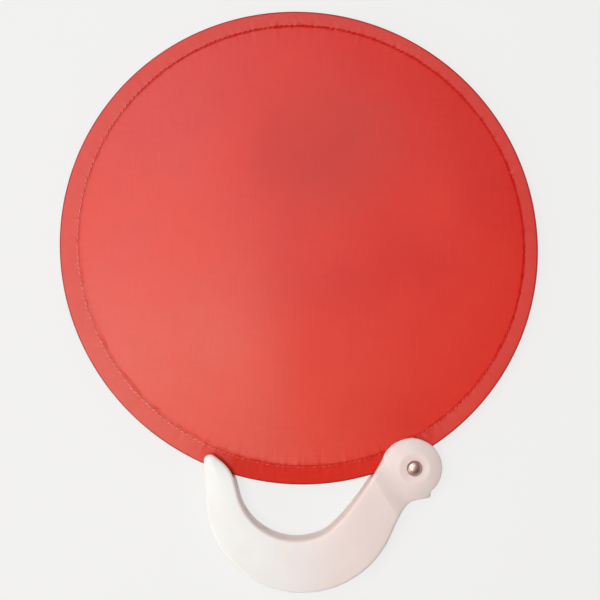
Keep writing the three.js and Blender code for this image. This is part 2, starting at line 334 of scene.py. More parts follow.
def panelNylon():
    material, tree, shader, place = newMaterial("panelNylon")
    split = splitPlace(tree, place)
    height = weaveHeight(tree, split[0], split[1], nylon["pitch"])
    # painted shade: a darker cloud above the middle
    cloud = nearSpot(tree, place, nylon["shadePatchMiddle"], nylon["shadePatchReach"])
    patchShade = times(tree, cloud, nylon["shadePatchShare"])
    finishNylon(tree, shader, place, height, nylon["deep"], nylon["pale"], patchShade=patchShade)
    return material


def tapeNylon():
    n = nylon
    material, tree, shader, place = newMaterial("tapeNylon")
    fromMiddle = vectorCalc(tree, "SUBTRACT", place, tuple(discMiddle * mm))[0]
    split = splitPlace(tree, fromMiddle)
    turn = calc(tree, "ARCTAN2", split[1], split[0])
    along = times(tree, turn, clothDisc["radius"] * mm)
    flatPlace = vectorCalc(tree, "MULTIPLY", fromMiddle, (1, 1, 0))[0]
    outward = vectorCalc(tree, "LENGTH", flatPlace)["Value"]
    girth = calc(tree, "ADD", outward, calc(tree, "ABSOLUTE", split[2]))
    height = weaveHeight(tree, girth, along, n["pitch"])
    foldShadeBreakup = spread(tree, noise(tree, place, n["edgeScale"]), *n["edgeShare"])
    # painted shade on the fold at the rim, broken up by noise
    foldShade = times(tree, readMark(tree, "fold"), foldShadeBreakup)
    rubbed = nearSpot(tree, place, n["handled"], n["handledReach"])
    finishNylon(tree, shader, place, height, n["tape"], n["tapePale"], foldShade, rubbed)
    return material


sewingThread = {
    "litTone": (232, 72, 60),
    "pale": (255, 150, 138),
    "shaded": (218, 19, 11),
    # painted shade: near the gap, at the bottom of the ring, the thread is painted darker
    "handled": (206, 28, 20),
    "handledShadeShare": 0.6,
    "shine": (0.9, 0.12),  # lit, and where it is painted shaded or rubbed
    "roughness": (0.42, 0.28),  # between the plies, and on them
    "toneScale": 900.0,
    "toneSpread": (0.4, 0.6),
    "twists": 6.0,  # of the plies, along a stitch
    "plyCrown": 0.8,
    "plyShade": (0.84, 1.0),
    "plyDepth": 0.00001,
    "plyStrength": 0.3,
}


def threadPolyester():
    t = sewingThread
    material, tree, shader, place = newMaterial("threadPolyester")
    lay = splitPlace(tree, addNode(tree, "ShaderNodeUVMap", uv_map="lay").outputs[0])
    twist = calc(tree, "ADD", times(tree, lay[0], t["twists"]), lay[1])
    ply = calc(tree, "ABSOLUTE", calc(tree, "SINE", times(tree, twist, 2 * math.pi)))
    tone = remap(tree, noise(tree, place, t["toneScale"]), *t["toneSpread"], 0, 1)
    rubbed = nearSpot(tree, place, nylon["handled"], nylon["handledReach"])
    shaded = readMark(tree, "threadShade")
    # painted light and shade: a lit copy of the thread's colour, and a shaded copy away from the lamps
    body = mixPaint(tree, tone, t["litTone"], t["pale"])
    body = mixPaint(tree, shaded, body, t["shaded"])
    # painted shade near the gap
    body = mixPaint(tree, times(tree, rubbed, t["handledShadeShare"]), body, t["handled"])
    body = shadePaint(tree, body, remap(tree, ply, 0.0, t["plyCrown"], *t["plyShade"]))
    dulled = calc(tree, "MAXIMUM", rubbed, shaded)
    setInputs(shader, {
        "Base Color": body,
        "Roughness": remap(tree, ply, 0, 1, *t["roughness"]),
        "Specular IOR Level": remap(tree, dulled, 0, 1, *t["shine"]),
        "Normal": bump(tree, ply, t["plyDepth"], t["plyStrength"]),
    })
    return material


# The cloth disc: an oval rim, soft swells in the cloth, puckers along the seam

clothDisc = {
    "radius": 125.0,
    "oval": 1.2,
    "ovalTurn": math.radians(-27),
    "seamDepth": 8.4,  # from the rim to the ring of stitches
    "seamDrift": 1.3,  # it was sewn a little off the middle
    "seamDriftTurn": math.radians(222),
    "seamMargin": 0.9,  # from the stitches to the tape's inner edge
    "shadeInset": (0.6, 1.1),  # from the stitches to the shaded line: mean, and how it drifts
    "shadeStrength": (0.75, 0.28, 0.15),  # mean, three waves round the ring, one wave
    "shadeTurns": (math.radians(225), math.radians(45)),
    "threadShade": (0.6, 0.7),  # mean, and one wave: painted shade, the thread is painted darkest away from the lamps
    "threadShadeTurn": math.radians(45),
    "tautFrom": 0.45,  # share of the way out where the swells begin to flatten
    "swells": [  # across, along, width, length, turn, height
        (-14, -60, 30, 75, 8, 0.9),
        (-78, -20, 34, 60, -25, 0.5),
        (18, 62, 42, 36, 20, -0.7),
        (72, 8, 34, 62, 12, -0.5),
        (-40, 66, 36, 44, 40, 0.5),
    ],
    "pucker": 0.09,
    "puckerReach": 5.0,
    "puckerTurns": [(83, 0.4), (131, 2.1), (197, 4.4)],
}


def rimRadius(turn):
    return clothDisc["radius"] + clothDisc["oval"] * np.cos(2 * (turn - clothDisc["ovalTurn"]))


def seamRadius(turn):
    drift = clothDisc["seamDrift"] * np.cos(turn - clothDisc["seamDriftTurn"])
    return rimRadius(turn) - clothDisc["seamDepth"] - drift


seamMean = clothDisc["radius"] - clothDisc["seamDepth"]


def markSeam(piece, points):
    # each point's distance from the shaded line beside the stitches, and how strong the shade is there
    d = clothDisc
    across, along = (np.asarray(points) - discMiddle)[:, :2].T
    turn = np.arctan2(along, across)
    inset, drift = d["shadeInset"]
    line = seamRadius(turn) - inset - drift * np.cos(turn - d["seamDriftTurn"])
    mean, threefold, single = d["shadeStrength"]
    first, second = d["shadeTurns"]
    strength = mean + threefold * np.cos(3 * (turn - first)) + single * np.cos(turn - second)
    threadMean, threadWave = d["threadShade"]
    threadShade = threadMean + threadWave * np.cos(turn - d["threadShadeTurn"])
    markPoints(piece, "fromShade", np.abs(np.hypot(across, along) - line))
    markPoints(piece, "shadeStrength", strength)
    markPoints(piece, "threadShade", np.clip(threadShade, 0, 1))


def tapeEdge(turn):
    return seamRadius(turn) - clothDisc["seamMargin"]


def clothHeight(across, along):
    d = clothDisc
    turn = np.arctan2(along, across)
    reach = np.hypot(across, along)
    taut = 1 - smoothStep(d["tautFrom"], 1.0, reach / tapeEdge(turn))
    height = np.zeros_like(reach)
    for x, y, width, length, lean, rise in d["swells"]:
        tilt = math.radians(lean)
        u = (across - x) * math.cos(tilt) + (along - y) * math.sin(tilt)
        v = (along - y) * math.cos(tilt) - (across - x) * math.sin(tilt)
        height += rise * np.exp(-(u / width) ** 2 - (v / length) ** 2)
    height *= taut
    waves = sum(np.sin(count * turn + start) for count, start in d["puckerTurns"])
    near = np.exp(-((reach - seamRadius(turn)) / d["puckerReach"]) ** 2)
    return height + d["pucker"] * near * waves / len(d["puckerTurns"])


panelCloth = {
    "tuck": 3.6,  # how far it runs in under the tape
    "thickness": 0.14,
    "rings": [(0.0, 1), (2.2, 24), (5, 48), (12, 96), (24, 192), (48, 384), (84, 768)],
    "ringStep": 2.0,
    "seamStep": 1.0,
    "seamZone": 104,
}


def ringStrip(inner, outer):
    count, more = len(inner), len(outer)
    strip = []
    if count == 1:
        return [(inner[0], outer[i], outer[(i + 1) % more]) for i in range(more)]
    for i in range(count):
        a, b = inner[i], inner[(i + 1) % count]
        if more == count:
            strip.append((a, outer[i], outer[(i + 1) % count], b))
            continue
        c, d, e = outer[2 * i], outer[2 * i + 1], outer[(2 * i + 2) % more]
        strip += [(a, c, d), (a, d, b), (b, d, e)]
    return strip


def makePanel():
    p = panelCloth
    outermost = seamMean + p["tuck"]
    reach = 0.0
    rings = []
    while reach < outermost:
        count = [n for start, n in p["rings"] if start <= reach + 1e-6][-1]
        rings.append((reach, count))
        step = p["seamStep"] if reach >= p["seamZone"] else p["ringStep"]
        upcoming = [start for start, n in p["rings"] if reach < start <= reach + step]
        reach = upcoming[0] if upcoming else reach + step
    rings.append((outermost, rings[-1][1]))
    points, faces, before = [], [], None
    for reach, count in rings:
        turn = np.arange(count) * 2 * math.pi / count
        scale = reach * (seamRadius(turn) + p["tuck"]) / outermost
        across, along = scale * np.cos(turn), scale * np.sin(turn)
        first = len(points)
        points += list(np.stack([across, along, clothHeight(across, along)], 1) + discMiddle)
        ring = list(range(first, first + count))
        faces += ringStrip(before, ring) if before else []
        before = ring
    panel = addMesh("nylon_panel", points, faces)
    markSeam(panel, points)
    ply = panel.modifiers.new("ply", "SOLIDIFY")
    ply.thickness = p["thickness"] * mm
    ply.offset = 0
    return panel


panel = makePanel()
dress(panel, panelNylon(), "fan_disc", "panel_cloth", "fan_panel")
print("panel:", len(panel.data.polygons), "faces")

# The tape folded over hoop and cloth, with its two rows of stitches

rimTape = {
    "ply": 0.16,
    "edgeDepth": 1.0,  # where the fold over the hoop is highest
    "crown": 0.92,
    "foldLining": 0.58,  # half height of the hollow right inside the fold
    "margin": 1.5,  # lies flat on the cloth, with the stitches on it
    "flat": 0.30,  # outer face of the flat margin, above the cloth's middle
    "square": 3.0,  # how square the fold goes round the hoop
    "lugHalf": 7.3,  # the tape stops here beside the rivet's lug
    "steps": 1080,
    "foldSteps": 8,  # points of the section round the fold, down the slope and across the margin
    "slopeSteps": 14,
    "slopeBias": 1.6,
    "marginSteps": 8,
    "liningSteps": (6, 4),
    "liningLeast": 0.09,
    "groove": 0.05,  # the thread pulls the tape in
    "grooveWidth": 0.6,
    "ripple": 0.02,  # gathers between the seam and the hoop
    "gathers": [(173, 0.9, 0.0), (119, -0.7, 1.3)],  # count round the rim, lean, start
    "follow": (0.35, 0.75),  # where across its width the tape begins to lie on the cloth
    "foldShadeFrom": 0.1,
    "sharpAngle": 60,
    "foldTake": 0.6,  # what each half of the tape needs to go round the hoop
}


def tapeHeight(depth, width):
    r = rimTape
    edge = r["edgeDepth"]
    square = r["square"]
    fold = r["crown"] * (1 - np.clip(1 - depth / edge, 0, 1) ** square) ** (1 / square)
    flatStart = width - r["margin"]
    share = np.clip((depth - edge) / (flatStart - edge), 0, 1)
    slope = (1 - share) * (r["crown"] - r["flat"]) + r["flat"]
    seam = width - clothDisc["seamMargin"]
    sunk = r["groove"] * np.exp(-((depth - seam) / r["grooveWidth"]) ** 2)
    return np.where(depth < edge, fold, slope) - sunk


def tapeSection(width):
    r = rimTape
    edge = r["edgeDepth"]
    flatStart = width - r["margin"]
    bend = edge * (1 - np.cos(np.linspace(0, math.pi / 2, r["foldSteps"])))
    hang = edge + (flatStart - edge) * np.linspace(0, 1, r["slopeSteps"]) ** r["slopeBias"]
    outside = np.concatenate([bend, hang[1:], np.linspace(flatStart, width, r["marginSteps"])[1:]])
    outer = tapeHeight(outside, width)
    slopeSteps, marginSteps = r["liningSteps"]
    slope = np.linspace(edge, flatStart, slopeSteps)
    inside = np.concatenate([[r["ply"]], slope, np.linspace(flatStart, width, marginSteps)[1:]])
    lining = np.maximum(tapeHeight(inside, width) - r["ply"], r["liningLeast"])
    lining[0] = r["foldLining"]
    depth = np.concatenate([outside[::-1], outside[1:], inside[::-1], inside])
    height = np.concatenate([outer[::-1], -outer[1:], -lining[::-1], lining])
    return depth, height


def alongRim(turn, depth, height):
    across = (rimRadius(turn) - depth) * np.cos(turn)
    along = (rimRadius(turn) - depth) * np.sin(turn)
    width = rimRadius(turn) - tapeEdge(turn)
    follow = smoothStep(*rimTape["follow"], depth / width)
    gather = rimTape["ripple"] * np.sin(np.pi * np.clip(depth / width, 0, 1)) ** 2
    wave = sum(np.sin(count * turn + lean * depth + start) for count, lean, start in rimTape["gathers"])
    lift = follow * clothHeight(across, along) + np.sign(height) * gather * wave / len(rimTape["gathers"])
    return np.stack([across, along, height + lift], -1) + discMiddle


def rimTurns(count):
    lugTurn = math.atan2(pivot[1] - discMiddle[1], pivot[0] - discMiddle[0])
    gap = rimTape["lugHalf"] / clothDisc["radius"]
    return np.linspace(lugTurn + gap, lugTurn + 2 * math.pi - gap, count)


def makeTape():
    turns = rimTurns(rimTape["steps"])
    rows, folds = [], []
    for turn in turns:
        depth, height = tapeSection(rimRadius(turn) - tapeEdge(turn))
        rows.append(alongRim(turn, depth, height))
        folds.append(1 - smoothStep(rimTape["foldShadeFrom"], rimTape["edgeDepth"], depth))
    points = np.concatenate(rows)
    piece = addMesh("rim_tape", points, tubeFaces(len(rows), len(rows[0])))
    markSeam(piece, points)
    markPoints(piece, "fold", np.concatenate(folds))
    return piece


tape = sharpenEdges(makeTape(), rimTape["sharpAngle"])
dress(tape, tapeNylon(), "fan_disc", "binding_tape", "rim_binding")
print("tape:", len(tape.data.polygons), "faces")

stitchRow = {
    "pitch": 2.75,
    "length": 2.45,
    "radius": 0.34,
    "lengthRange": (0.92, 1.06),  # share of the length, from stitch to stitch
    "slant": 0.34,  # each stitch lies a little askew
    "slantRange": (0.6, 1.4),
    "bed": 0.7,  # height of the thread's middle above the tape, in radii
    "rise": 0.16,
    "sink": 0.22,  # the ends dive into the cloth
    "sinkPower": 6,
    "taper": (1.02, 5),
    "rings": 8,
    "sides": 7,
    "seed": 11,
}


def oneStitch(turn, side, slant, lengthShare):
    s = stitchRow
    halfTurn = s["length"] * lengthShare / seamMean / 2
    share = np.linspace(-1, 1, s["rings"])
    turns = turn + halfTurn * share
    depth = rimRadius(turns) - seamRadius(turns) + slant * share
    level = rimTape["flat"] - rimTape["groove"] + s["radius"] * s["bed"]
    dive = s["sink"] * share ** s["sinkPower"]
    arch = level + s["rise"] * (1 - share ** 2) - dive
    path = alongRim(turns, depth, side * arch)
    full, power = s["taper"]
    thick = s["radius"] * np.sqrt(full - np.abs(share) ** power)
    out = np.stack([np.cos(turns), np.sin(turns), np.zeros_like(turns)], -1)
    rounds = np.arange(s["sides"]) * 2 * math.pi / s["sides"]
    ring = []
    for angle in rounds:
        lift = np.array([0, 0, math.sin(angle)])
        ring.append(path + thick[:, None] * (out * math.cos(angle) + lift))
    return np.stack(ring, 1)


def makeStitches(name, side):
    s = stitchRow
    sides, rings = s["sides"], s["rings"]
    span = rimTurns(2)
    count = int((span[1] - span[0]) * seamMean / s["pitch"])
    points, faces, lay = [], [], []
    for turn in np.linspace(span[0], span[1], count + 2)[1:-1]:
        slant = side * s["slant"] * chance.uniform(*s["slantRange"])
        stitch = oneStitch(turn, side, slant, chance.uniform(*s["lengthRange"]))
        first = len(points)
        points += list(stitch.reshape(-1, 3))
        cells = [(i, j) for i in range(rings - 1) for j in range(sides)]
        corners = [[(i, j), (i + 1, j), (i + 1, j + 1), (i, j + 1)] for i, j in cells]
        corners.append([(0, j) for j in range(sides)])
        corners.append([(rings - 1, j) for j in reversed(range(sides))])
        faces += [[first + i * sides + j % sides for i, j in face] for face in corners]
        lay += [corner for face in corners for corner in face]
    piece = addMesh(name, points, faces)
    markSeam(piece, points)
    layer = piece.data.uv_layers.new(name="lay")
    for loop, (i, j) in zip(layer.data, lay):
        loop.uv = (i / (rings - 1), j / sides)
    return piece


chance = random.Random(stitchRow["seed"])
threadFinish = threadPolyester()
needleRow = makeStitches("needle_stitches", 1)
bobbinRow = makeStitches("bobbin_stitches", -1)
dress(needleRow, threadFinish, "fan_disc", "sewing_thread", "binding_needle_thread")
dress(bobbinRow, threadFinish, "fan_disc", "sewing_thread", "binding_bobbin_thread")
print("stitches:", len(needleRow.data.polygons) + len(bobbinRow.data.polygons), "faces")

# The crescent handle: two moulded halves, drawn about the rivet in millimetres

crescentHandle = {
    "headShift": (-1.15, -0.35),
    "headRadius": 16.5,
    "headNeckTurn": 163,
    "headBeakTurn": -50,
    "beakTurn": -57.7,
    "beakProud": 2.5,
    "beakLength": 5.0,
    "beakSlope": 5,
    "gapMiddle": (-1.2, -120.9),  # from the cloth's middle, as are the next two
    "backMiddle": (1.9, -129.3),
    "tipAcross": -46.2,
    "gapRadius": 31.2,
    "gapNeckTurn": -63,
    "gapTipTurn": -167,
    "neckEase": (3.0, 12.0),
    "backRadius": 50.6,
    "backNeckTurn": -24,
    "backEase": (16.0, 7.5),
    "tipBite": 3.5,
    "tipRadius": 3.6,
    "tipFlankTurn": 56,
    "tipEase": (10.5, 10.5),
    "webWall": 2.5,
    "gapWall": 2.5,  # the upright wall along the finger gap
    "wallClear": 1.0,  # it ends this far from the rim
    "rimGap": 0.3,
    "channelReach": 60.0,  # takes the slot well past the head
    "arcPoints": 90,  # round the head and along the back
    "gapPoints": 80,
    "tipPoints": 20,
    "easePoints": 24,
}

shellMould = {
    "grid": 0.45,
    "headHalf": 5.0,
    "gripHalf": 7.0,
    "cheek": 2.0,
    "edgeRound": 1.8,
    "crown": (0.35, 1.3),  # how far the faces fall towards the edges: grip, tip
    "crownReach": 9.0,
    "tipReach": (5.0, 18.0),  # where the tip's crown gives way to the grip's
    "headFall": 3.0,  # from the dish's lip to the head's edge
    "headCurve": 1.75,  # lower is steeper near the dish
    "headLimit": 1.15,  # how far out the fall goes on, in shares of the way to the edge
    "neckShare": 0.12,  # of that fall, on the side of the neck
    "slotFollow": 0.55,  # share of a face's fall that the slot follows
    "stepTurn": 211,
    "stepDistance": 11.7,
    "stepRamp": 9.0,
    "stepPower": 1.5,
    "stepRise": 0.9,  # the rest of the grip's extra thickness comes slowly, over the next stretch
    "longReach": 28.0,
    "dishRadius": 7.6,
    "dishFloor": 3.6,
    "dishDepth": 0.24,
    "dishLip": 0.14,
    "lipRadius": 8.0,
    "lipWidth": 1.2,
    "boreRadius": 2.1,
    "parting": 0.05,  # half the fine gap between the halves
    "bossTurns": (215, 270, 325),
    "bossRadius": 3.0,
    "bossSink": 1.0,
    "pegRadius": 1.2,
    "pegLength": 3.0,
    "pegGap": 0.3,
    "wallBlend": (0.4, 0.6),  # rounding where faces meet inside
    "slotBlend": 1.0,
    "hollowBlend": 0.6,
    "bossBlend": 0.7,
    "partingBlend": 0.5,
    "boreBlend": 0.3,
    "gridMargin": 2.3,  # cells round the part
    "wornFrom": 0.2,  # from the outline, where the edges are rubbed
    "gapShadeReach": (0.3, 1.6),  # from the finger gap
    "sharpAngle": 50,
}


def onCircle(middle, radius, degrees):
    turn = math.radians(degrees)
    return np.array([middle[0] + radius * math.cos(turn), middle[1] + radius * math.sin(turn)])


def arc(middle, radius, start, end, count):
    return [onCircle(middle, radius, degrees) for degrees in np.linspace(start, end, count)]


def ease(start, startTurn, startEase, end, endTurn, endEase):
    first = onCircle(start, startEase, startTurn)
    second = onCircle(end, -endEase, endTurn)
    t = np.linspace(0, 1, crescentHandle["easePoints"])[:, None]
    s = 1 - t
    return list(s ** 3 * start + 3 * s ** 2 * t * first + 3 * s * t ** 2 * second + t ** 3 * end)


def fromRivet(place):
    return np.array(place) + discMiddle[:2] - pivot[:2]


def underRim(across, distance):
    turn = -math.acos(across / clothDisc["radius"])
    reach = rimRadius(turn) + distance
    return -math.sqrt(reach * reach - across * across)


def handleMarks():
    h = crescentHandle
    tipAlong = underRim(h["tipAcross"], -h["tipBite"])
    return {
        "gap": fromRivet(h["gapMiddle"]),
        "back": fromRivet(h["backMiddle"]),
        "tip": fromRivet((h["tipAcross"], tipAlong)),
        "beak": onCircle(h["headShift"], h["headRadius"] + h["beakProud"], h["beakTurn"]),
    }


def backEdge(marks, inset):
    h = crescentHandle
    radius = h["backRadius"] - inset
    gripEase, beakEase = h["backEase"]
    arcEnd = onCircle(marks["back"], radius, h["backNeckTurn"])
    beakEnd = onCircle(marks["beak"], inset, h["beakSlope"] + 90)
    beakStart = onCircle(beakEnd, -h["beakLength"], h["beakSlope"])
    neck = ease(arcEnd, h["backNeckTurn"] + 90, gripEase, beakStart, h["beakSlope"], beakEase + inset / 2)
    back = arc(marks["back"], radius, 180, 360 + h["backNeckTurn"], h["arcPoints"])
    return back + neck[1:] + [beakEnd]


def gapEdge(marks):
    h = crescentHandle
    headEnd = onCircle(h["headShift"], h["headRadius"], h["headNeckTurn"])
    gapStart = onCircle(marks["gap"], h["gapRadius"], h["gapNeckTurn"])
    gapEnd = onCircle(marks["gap"], h["gapRadius"], h["gapTipTurn"])
    tipStart = onCircle(marks["tip"], h["tipRadius"], h["tipFlankTurn"])
    neckOut, neckIn = h["neckEase"]
    tipOut, tipIn = h["tipEase"]
    edge = ease(headEnd, h["headNeckTurn"] + 90, neckOut, gapStart, h["gapNeckTurn"] - 90, neckIn)
    edge += arc(marks["gap"], h["gapRadius"], h["gapNeckTurn"], h["gapTipTurn"], h["gapPoints"])[1:]
    return edge + ease(gapEnd, h["gapTipTurn"] - 90, tipOut, tipStart, h["tipFlankTurn"] + 90, tipIn)[1:]


def handleOutline(marks):
    h = crescentHandle
    outline = arc(h["headShift"], h["headRadius"], h["headBeakTurn"], h["headNeckTurn"], h["arcPoints"])
    outline += gapEdge(marks)[1:]
    outline += arc(marks["tip"], h["tipRadius"], h["tipFlankTurn"], 180, h["tipPoints"])[1:]
    return np.array(outline + backEdge(marks, 0.0))


def channelPlan(marks):
    h = crescentHandle
    webLeft = marks["tip"][0] - h["tipRadius"] + h["webWall"]
    farLeft = marks["tip"][0] - h["tipRadius"] - h["webWall"]
    shift = pivot[:2] - discMiddle[:2]
    seats = [np.array([x, underRim(x + shift[0], h["rimGap"]) - shift[1]]) for x in (farLeft, webLeft)]
    plan = seats + backEdge(marks, h["webWall"])
    far = h["channelReach"]
    return np.array(plan + [np.array(place) for place in ((far, plan[-1][1]), (far, far), (farLeft, far))])


def pathDistance(path, across, along):
    places = np.stack([across.ravel(), along.ravel()], 1)
    nearest = np.full(len(places), 1e9)
    for start, end in zip(path, path[1:]):
        edge, offset = end - start, places - start
        t = np.clip(offset @ edge / max(edge @ edge, 1e-12), 0, 1)[:, None]
        nearest = np.minimum(nearest, ((offset - t * edge) ** 2).sum(1))
    return np.sqrt(nearest).reshape(across.shape)


def insideDistance(outline, across, along):
    # how far in from a closed outline each place lies; negative outside
    closed = np.concatenate([outline, outline[:1]])
    inside = np.zeros(across.shape, bool)
    for start, end in zip(closed, closed[1:]):
        rise = end[1] - start[1]
        if rise != 0:
            spans = (start[1] > along) != (end[1] > along)
            inside ^= spans & (across < start[0] + (end[0] - start[0]) * (along - start[1]) / rise)
    return np.where(inside, 1, -1) * pathDistance(closed, across, along)


def softMax(a, b, reach):
    return np.maximum(a, b) + np.maximum(reach - np.abs(a - b), 0) ** 2 / (4 * reach)


def softMin(a, b, reach):
    return -softMax(-a, -b, reach)


def surfaceNet(field, low, step):
    # closed skin of quads round the places where the field is below zero
    cells = np.array(field.shape) - 1
    index = np.stack(np.meshgrid(*[np.arange(n) for n in cells], indexing="ij"), -1)
    total = np.zeros((*cells, 3))
    count = np.zeros(cells)
    crossings = []
    for axis in range(3):
        layers = np.moveaxis(field, axis, 0)
        a, b = layers[:-1], layers[1:]
        crosses = (a < 0) != (b < 0)
        share = np.where(crosses, a / np.where(crosses, a - b, 1), 0)
        crossings.append((crosses, a < 0))
        others = [other for other in range(3) if other != axis]
        n1, n2 = cells[others]
        for u, v in ((0, 0), (0, 1), (1, 0), (1, 1)):
            used = np.moveaxis(crosses[:, u:u + n1, v:v + n2], 0, axis)
            part = np.moveaxis(share[:, u:u + n1, v:v + n2], 0, axis)
            spot = index.astype(float)
            spot[..., axis] += part
            spot[..., others] += (u, v)
            total += used[..., None] * spot
            count += used
    shown = count > 0
    number = np.full(cells, -1)
    number[shown] = np.arange(shown.sum())
    points = low + step * total[shown] / count[shown][:, None]
    faces = []
    for axis in range(3):
        crosses, lowInside = crossings[axis]
        ring = np.moveaxis(number, axis, 0)
        inner = crosses[:, 1:-1, 1:-1]
        outward = lowInside[:, 1:-1, 1:-1][inner]
        corners = [ring[:, :-1, :-1], ring[:, 1:, :-1], ring[:, 1:, 1:], ring[:, :-1, 1:]]
        quad = np.stack([corner[inner] for corner in corners], 1)
        flip = outward == (axis == 1)
        quad[flip] = quad[flip][:, ::-1]
        faces.append(quad)
    return points, np.concatenate(faces)


def gridValue(values, low, step, places):
    spot = (places - low[:2]) / step
    corner = np.clip(np.floor(spot).astype(int), 0, np.array(values.shape) - 2)
    u, v = (spot - corner).T
    i, j = corner.T
    lower = values[i, j] * (1 - u) + values[i + 1, j] * u
    upper = values[i, j + 1] * (1 - u) + values[i + 1, j + 1] * u
    return lower * (1 - v) + upper * v


def shellPlan(marks, across, along):
    # distances in plan, and the half heights of the face and of the slot over each place
    m, h = shellMould, crescentHandle
    edge = insideDistance(handleOutline(marks), across, along)
    fromGap = pathDistance(gapEdge(marks), across, along)
    fromDisc = np.stack([across, along], -1) + pivot[:2] - discMiddle[:2]
    discTurn = np.arctan2(fromDisc[..., 1], fromDisc[..., 0])
    inDisc = rimRadius(discTurn) + h["wallClear"] - np.hypot(fromDisc[..., 0], fromDisc[..., 1])
    wallEnd, wallSide = m["wallBlend"]
    wall = softMax(fromGap - h["gapWall"], inDisc, wallEnd)
    channel = softMin(insideDistance(channelPlan(marks), across, along), wall, wallSide)
    stepTurn = math.radians(m["stepTurn"])
    pastStep = across * math.cos(stepTurn) + along * math.sin(stepTurn) - m["stepDistance"]
    ramp = np.clip(pastStep / m["stepRamp"], 0, 1) ** m["stepPower"] * m["stepRise"]
    longRise = m["gripHalf"] - m["headHalf"] - m["stepRise"]
    ramp += smoothStep(m["stepRamp"], m["stepRamp"] + m["longReach"], pastStep) * longRise
    head = 1 - smoothStep(0, m["stepRamp"], pastStep)
    tip = 1 - smoothStep(*m["tipReach"], np.hypot(across - marks["tip"][0], along - marks["tip"][1]))
    fromAxis = np.hypot(across, along)
    dish = m["dishDepth"] * (1 - smoothStep(m["dishFloor"], m["dishRadius"], fromAxis))
    lip = m["dishLip"] * np.exp(-((fromAxis - m["lipRadius"]) / m["lipWidth"]) ** 2)
    gripCrown, tipCrown = m["crown"]
    crown = (gripCrown + (tipCrown - gripCrown) * tip) * (1 - head)
    fall = crown * np.clip(1 - edge / m["crownReach"], 0, 1) ** 2
    outward = (fromAxis - m["dishRadius"]) / (h["headRadius"] - m["dishRadius"])
    outward = np.clip(outward, 0, m["headLimit"])
    neckward = np.clip((pastStep + m["stepDistance"]) / np.maximum(fromAxis, m["grid"]), 0, 1)
    fall += head * m["headFall"] * outward ** m["headCurve"] * (1 - (1 - m["neckShare"]) * neckward)
    half = m["headHalf"] + ramp - fall - dish + lip
    slotHalf = m["headHalf"] - m["cheek"] + ramp - m["slotFollow"] * fall
    return edge, fromGap, channel, fromAxis, half, slotHalf


def bossDistance(marks, across, along):
    m, h = shellMould, crescentHandle
    reach = h["backRadius"] - h["webWall"] - m["bossRadius"] + m["bossSink"]
    places = [onCircle(marks["back"], reach, turn) for turn in m["bossTurns"]]
    return np.min([np.hypot(across - x, along - y) for x, y in places], 0)


def makeShell(name, side):
    m = shellMould
    marks = handleMarks()
    outline = handleOutline(marks)
    step = m["grid"]
    low = np.array([*outline.min(0), -m["pegLength"]]) - m["gridMargin"] * step
    high = np.array([*outline.max(0), m["gripHalf"]]) + m["gridMargin"] * step
    axes = [np.arange(low[i], high[i] + step, step) for i in range(3)]
    across, along = np.meshgrid(axes[0], axes[1], indexing="ij")
    plan = [*shellPlan(marks, across, along), bossDistance(marks, across, along)]
    edge, fromGap, channel, fromAxis, half, slotHalf, fromBoss = [values[..., None] for values in plan]
    z = axes[2][None, None, :]
    sideOut = m["edgeRound"] - edge
    topOut = z - half + m["edgeRound"]
    corner = np.hypot(np.maximum(sideOut, 0), np.maximum(topOut, 0))
    blank = np.minimum(np.maximum(sideOut, topOut), 0) + corner - m["edgeRound"]
    shell = softMax(blank, softMin(channel, slotHalf - z, m["slotBlend"]), m["hollowBlend"])
    boss = np.maximum(fromBoss - m["bossRadius"], z - slotHalf - m["cheek"] / 2)
    shell = softMin(shell, boss, m["bossBlend"])
    shell = softMax(shell, m["parting"] - z, m["partingBlend"])
    shell = softMax(shell, m["boreRadius"] - fromAxis, m["boreBlend"])
    if side > 0:
        hole = np.maximum(fromBoss - m["pegRadius"] - m["pegGap"], z - m["pegLength"] - m["pegGap"])
        shell = np.maximum(shell, -hole)
    else:
        peg = np.maximum(fromBoss - m["pegRadius"], np.abs(z) - m["pegLength"])
        shell = np.minimum(shell, peg)
    points, faces = surfaceNet(shell, low, step)
    fromEdge = gridValue(edge[..., 0], low, step, points[:, :2])
    fromGap = gridValue(fromGap[..., 0], low, step, points[:, :2])
    points[:, 2] *= side
    piece = addMesh(name, points + pivot, faces if side > 0 else faces[:, ::-1])
    markPoints(piece, "rubbed", 1 - smoothStep(m["wornFrom"], m["edgeRound"], fromEdge))
    # painted shade along the finger gap
    markPoints(piece, "gapShade", 1 - smoothStep(*m["gapShadeReach"], fromGap))
    return sharpenEdges(piece, m["sharpAngle"])


mouldedPlastic = {
    "white": (242, 245, 252),
    "warm": (241, 225, 227),
    "sideShade": (-0.034, 0.035),  # painted shade: the plastic is painted warmer and darker towards the rivet, away from the lamps, between these places across
    "clouded": (231, 220, 217),
    "cloudScale": 38.0,
    "cloudSpread": (0.35, 0.7),
    "cloudShare": 0.18,
    "worn": (244, 241, 239),
    "wornSpread": (0.3, 0.9),
    "wornShare": 0.4,
    "gapShade": (232, 204, 198),  # painted shade: the wall along the finger gap is painted darker and pinker
    "gapShadeShare": 0.6,
    "roughness": 0.42,
    "haze": (-0.05, 0.08),  # cloudy changes of the roughness
    "polish": 0.06,  # rubbed edges are that much smoother
    "polishSpread": (0.2, 0.9),
    "shine": 0.5,
    "glow": 0.5,  # share of light that scatters inside the wall
    "glowTint": (1.0, 0.82, 0.72),
    "glowReach": 0.002,
    "speckScale": 900.0,
    "speckDepth": 0.00001,
}


